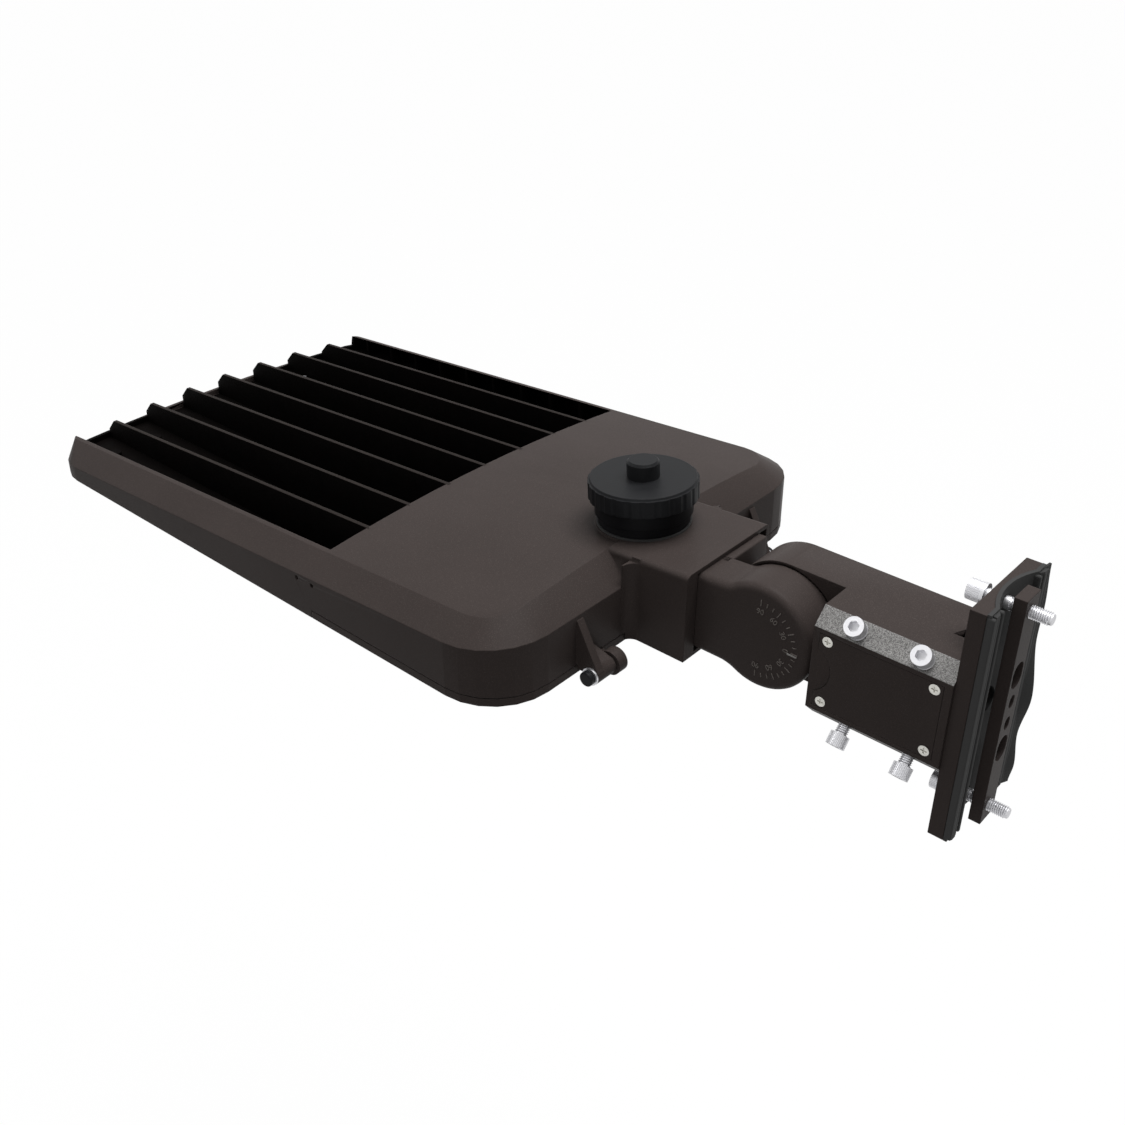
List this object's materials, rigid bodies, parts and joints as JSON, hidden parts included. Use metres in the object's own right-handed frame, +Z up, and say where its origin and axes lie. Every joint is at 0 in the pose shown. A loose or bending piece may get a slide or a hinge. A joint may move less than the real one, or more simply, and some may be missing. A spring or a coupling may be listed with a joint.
{
  "type": "led street light",
  "caption": "Outdoor LED area light: wedge head with open heat sink, toothed tilting knuckle, short pole arm, twist-lock shorting cap and drop-down driver door.",
  "frame": {"origin": "middle of the face that meets the pole, between the two pole bolts", "axes": "+X from the pole to the nose of the head, +Z up, +Y to the side with the arm cover"},
  "size_m": [0.763, 0.337, 0.1572],
  "materials": {
    "bronze": "dark bronze powder coat, fine satin grain",
    "stainless": "bright turned stainless",
    "blackened": "black oxide",
    "rubber": "matt rubber",
    "black_plastic": "matt moulded plastic",
    "brass": "plain",
    "board_white": "white solder mask",
    "chip": "phosphor yellow",
    "lens": "clear moulded lens",
    "driver_case": "pale grey",
    "surge_blue": "blue",
    "block_cream": "cream"
  },
  "bodies": {
    "arm": {"pole_plate": "bronze", "pole_gasket": "rubber", "pole_bolts": "stainless", "pole_bolt_washers": "stainless", "arm_casting": "bronze", "arm_clamp_screws": "stainless", "arm_cover": "bronze", "arm_cover_gasket": "rubber", "arm_cover_screws": "stainless", "knuckle_bolt": "stainless", "knuckle_washer": "stainless"},
    "pole_nut_bar": {"nut_bar": "bronze"},
    "head": {"knuckle_lug": "bronze", "lug_screws": "stainless", "head_housing": "bronze", "hinge_pins": "blackened", "hinge_washers": "stainless", "led_driver": "driver_case", "driver_screws": "stainless", "surge_protector": "surge_blue", "terminal_block": "block_cream", "led_board": "board_white", "leds": "chip", "lens_modules": "lens", "lens_gasket": "rubber", "lens_screws": "stainless", "receptacle_gasket": "rubber"},
    "door": {"driver_door": "bronze", "door_gasket": "rubber", "door_screw_near": "stainless", "door_screw_far": "stainless"},
    "photocell_receptacle": {"receptacle": "black_plastic", "receptacle_nut": "black_plastic", "receptacle_contacts": "brass"},
    "cap_seal": {"cap_gasket": "rubber"},
    "cap": {"shorting_cap": "black_plastic", "cap_blades": "brass"}
  },
  "joints": [
    {"name": "nut_bar_slide", "type": "slide", "parent": "arm", "child": "pole_nut_bar", "axis": [1, 0, 0], "range_m": [-0.008, 0.004]},
    {"name": "head_tilt", "type": "hinge", "parent": "arm", "child": "head", "pos_m": [0.1405, 0, 0], "axis": [0, -1, 0], "range_deg": [-90, 90]},
    {"name": "door_swing", "type": "hinge", "parent": "head", "child": "door", "pos_m": [0.2195, 0, -0.0321], "axis": [0, 1, 0], "range_deg": [0, 85]},
    {"name": "receptacle_turn", "type": "hinge", "parent": "head", "child": "photocell_receptacle", "pos_m": [0.25813, 0, 0.05252], "axis": [0.0645, 0, 0.9979], "range_deg": [-175, 175]},
    {"name": "cap_lift_off", "type": "slide", "parent": "photocell_receptacle", "child": "cap_seal", "axis": [0.0645, 0, 0.9979], "range_m": [0, 0.025]},
    {"name": "cap_twist", "type": "hinge", "parent": "cap_seal", "child": "cap", "pos_m": [0.25813, 0, 0.05252], "axis": [0.0645, 0, 0.9979], "range_deg": [-35, 0]}
  ]
}
